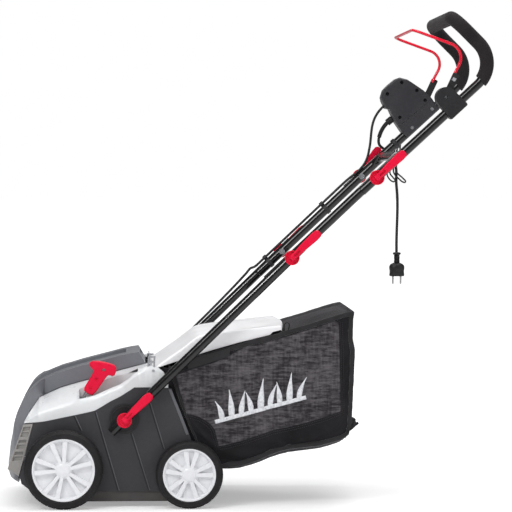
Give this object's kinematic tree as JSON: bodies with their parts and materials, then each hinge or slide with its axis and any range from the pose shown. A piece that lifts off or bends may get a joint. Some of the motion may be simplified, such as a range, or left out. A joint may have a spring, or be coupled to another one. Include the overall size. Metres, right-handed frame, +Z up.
{
  "type": "lawn dethatcher",
  "caption": "Electric lawn dethatcher with a wheeled tined housing, folding tube handle with bail switch, depth lever, rear flap and mesh grass bag",
  "frame": {"origin": "on the ground, at the middle of the overall box", "axes": "+X rearwards to the operator's grip, +Y to the switch box side, +Z up"},
  "size_m": [1.115, 0.522, 1.136],
  "materials": {
    "dark_plastic": "moulded, fine grain",
    "white_plastic": "smooth moulded",
    "hood_plastic": "moulded, satin",
    "grille_plastic": "moulded, satin",
    "black_plastic": "moulded, satin",
    "red_plastic": "moulded, glossy",
    "tyre_rubber": "rubber",
    "wheel_plastic": "moulded, satin",
    "steel": "zinc plated",
    "spring_steel": "oiled",
    "tube_black": "gloss powder coat",
    "red_wire": "red coated steel",
    "foam": "foam grip, matte",
    "box_plastic": "moulded, satin",
    "cable_rubber": "flexible sheath",
    "mesh_fabric": "open mesh and woven cloth",
    "brass": "plated",
    "copper_steel": "laminated core",
    "belt_rubber": "toothed belt"
  },
  "bodies": {
    "chassis": {"lower_housing": "dark_plastic", "top_shell": "white_plastic", "motor_hood": "hood_plastic", "front_grilles": "grille_plastic", "handle_mount_discs": "black_plastic", "rotor_bearings": "steel", "motor_stator": "copper_steel", "drive_belt": "belt_rubber", "rear_axle": "steel", "flap_hinge_rod": "steel", "flap_springs": "steel"},
    "depth_lever": {"lever_rod": "steel", "lever_grip": "red_plastic"},
    "depth_link": {"depth_link": "steel"},
    "front_axle": {"front_axle_crank": "steel"},
    "front_left_wheel": {"front_left_tyre": "tyre_rubber", "front_left_rim": "wheel_plastic"},
    "front_right_wheel": {"front_right_tyre": "tyre_rubber", "front_right_rim": "wheel_plastic"},
    "rear_left_wheel": {"rear_left_tyre": "tyre_rubber", "rear_left_rim": "wheel_plastic"},
    "rear_right_wheel": {"rear_right_tyre": "tyre_rubber", "rear_right_rim": "wheel_plastic"},
    "tine_rotor": {"rotor_shaft": "steel", "spring_tines": "spring_steel", "rotor_pulley": "black_plastic"},
    "motor_armature": {"motor_armature_shaft": "copper_steel", "motor_pulley": "black_plastic"},
    "rear_flap": {"rear_flap": "white_plastic"},
    "grass_bag": {"bag_fabric": "mesh_fabric", "bag_frame": "black_plastic"},
    "handle_lower": {"lower_tubes": "tube_black", "pivot_bolts_lower": "steel", "cam_cups_lower": "red_plastic", "motor_cable_lower": "cable_rubber"},
    "handle_middle": {"middle_tube": "tube_black", "cable_clips": "black_plastic", "motor_cable_middle": "cable_rubber"},
    "handle_upper": {"upper_tube": "tube_black", "foam_grip": "foam", "bail_clamp": "box_plastic", "switch_box_body": "box_plastic", "switch_box_shoe": "box_plastic", "switch_screws": "steel", "cord_hook": "black_plastic", "mains_cord": "cable_rubber", "mains_plug": "cable_rubber", "plug_pins": "brass", "motor_cable_upper": "cable_rubber", "pivot_bolts_upper": "steel", "cam_cups_upper": "red_plastic"},
    "bail": {"bail_wire": "red_wire", "bail_brackets": "black_plastic"},
    "lock_button": {"lock_button": "red_plastic"},
    "cam_lower_left": {"cam_lever_lower_left": "red_plastic"},
    "cam_lower_right": {"cam_lever_lower_right": "red_plastic"},
    "cam_middle_left": {"cam_lever_middle_left": "red_plastic"},
    "cam_middle_right": {"cam_lever_middle_right": "red_plastic"},
    "cam_upper_left": {"cam_lever_upper_left": "red_plastic"},
    "cam_upper_right": {"cam_lever_upper_right": "red_plastic"}
  },
  "joints": [
    {"name": "depth_adjust", "type": "hinge", "parent": "chassis", "child": "depth_lever", "pos_m": [-0.39346, -0.178, 0.227], "axis": [0, 1, 0], "range_deg": [0, 20]},
    {"name": "front_axle_crank_turn", "type": "hinge", "parent": "chassis", "child": "front_axle", "pos_m": [-0.46376, 0, 0.0834], "axis": [0, 1, 0], "range_deg": [0, 20]},
    {"name": "depth_link_turn", "type": "hinge", "parent": "depth_lever", "child": "depth_link", "pos_m": [-0.41976, -0.163, 0.2174], "axis": [0, 1, 0], "range_deg": [-20, 0]},
    {"name": "front_left_wheel_spin", "type": "hinge", "parent": "front_axle", "child": "front_left_wheel", "pos_m": [-0.42636, -0.24, 0.09], "axis": [0, 1, 0], "continuous": true},
    {"name": "front_right_wheel_spin", "type": "hinge", "parent": "front_axle", "child": "front_right_wheel", "pos_m": [-0.42636, 0.24, 0.09], "axis": [0, 1, 0], "continuous": true},
    {"name": "rear_left_wheel_spin", "type": "hinge", "parent": "chassis", "child": "rear_left_wheel", "pos_m": [-0.14006, -0.237, 0.077], "axis": [0, 1, 0], "continuous": true},
    {"name": "rear_right_wheel_spin", "type": "hinge", "parent": "chassis", "child": "rear_right_wheel", "pos_m": [-0.14006, 0.237, 0.077], "axis": [0, 1, 0], "continuous": true},
    {"name": "tine_rotor_spin", "type": "hinge", "parent": "chassis", "child": "tine_rotor", "pos_m": [-0.28746, 0, 0.078], "axis": [0, 1, 0], "continuous": true},
    {"name": "motor_spin", "type": "hinge", "parent": "chassis", "child": "motor_armature", "pos_m": [-0.35746, 0, 0.235], "axis": [0, 1, 0], "continuous": true},
    {"name": "flap_open", "type": "hinge", "parent": "chassis", "child": "rear_flap", "pos_m": [-0.22146, 0, 0.312], "axis": [0, 1, 0], "range_deg": [-40, 0]},
    {"name": "bag_slide", "type": "slide", "parent": "chassis", "child": "grass_bag", "axis": [1, 0, 0], "range_m": [0, 0.42]},
    {"name": "handle_lower_fold", "type": "hinge", "parent": "chassis", "child": "handle_lower", "pos_m": [-0.28786, 0, 0.2014], "axis": [0, 1, 0], "range_deg": [-90, 0]},
    {"name": "handle_middle_fold", "type": "hinge", "parent": "handle_lower", "child": "handle_middle", "pos_m": [0.09474, 0, 0.5715], "axis": [0, -1, 0], "range_deg": [0, 130]},
    {"name": "handle_upper_fold", "type": "hinge", "parent": "handle_middle", "child": "handle_upper", "pos_m": [0.28884, 0, 0.7543], "axis": [0, 1, 0], "range_deg": [-125, 0]},
    {"name": "bail_squeeze", "type": "hinge", "parent": "handle_upper", "child": "bail", "pos_m": [0.44684, 0, 0.9368], "axis": [0, 1, 0], "range_deg": [0, 22]},
    {"name": "lock_button_press", "type": "slide", "parent": "handle_upper", "child": "lock_button", "axis": [0, -1, 0], "range_m": [0, 0.004]},
    {"name": "cam_lower_left_open", "type": "hinge", "parent": "handle_lower", "child": "cam_lower_left", "pos_m": [-0.28786, -0.2432, 0.2014], "axis": [0.6953, 0, -0.7188], "range_deg": [0, 100]},
    {"name": "cam_lower_right_open", "type": "hinge", "parent": "handle_lower", "child": "cam_lower_right", "pos_m": [-0.28786, 0.2432, 0.2014], "axis": [-0.6953, 0, 0.7188], "range_deg": [0, 100]},
    {"name": "cam_middle_left_open", "type": "hinge", "parent": "handle_lower", "child": "cam_middle_left", "pos_m": [0.09474, -0.2432, 0.5715], "axis": [0.6856, 0, -0.728], "range_deg": [0, 100]},
    {"name": "cam_middle_right_open", "type": "hinge", "parent": "handle_lower", "child": "cam_middle_right", "pos_m": [0.09474, 0.2432, 0.5715], "axis": [-0.6856, 0, 0.728], "range_deg": [0, 100]},
    {"name": "cam_upper_left_open", "type": "hinge", "parent": "handle_upper", "child": "cam_upper_left", "pos_m": [0.28884, -0.2432, 0.7543], "axis": [0.6769, 0, -0.7361], "range_deg": [0, 100]},
    {"name": "cam_upper_right_open", "type": "hinge", "parent": "handle_upper", "child": "cam_upper_right", "pos_m": [0.28884, 0.2432, 0.7543], "axis": [-0.8151, 0, 0.5793], "range_deg": [0, 100]}
  ],
  "couplings": [
    {"joint": "front_axle_crank_turn", "follows": "depth_adjust", "ratio": 1},
    {"joint": "depth_link_turn", "follows": "depth_adjust", "ratio": -1},
    {"joint": "motor_spin", "follows": "tine_rotor_spin", "ratio": 4}
  ]
}
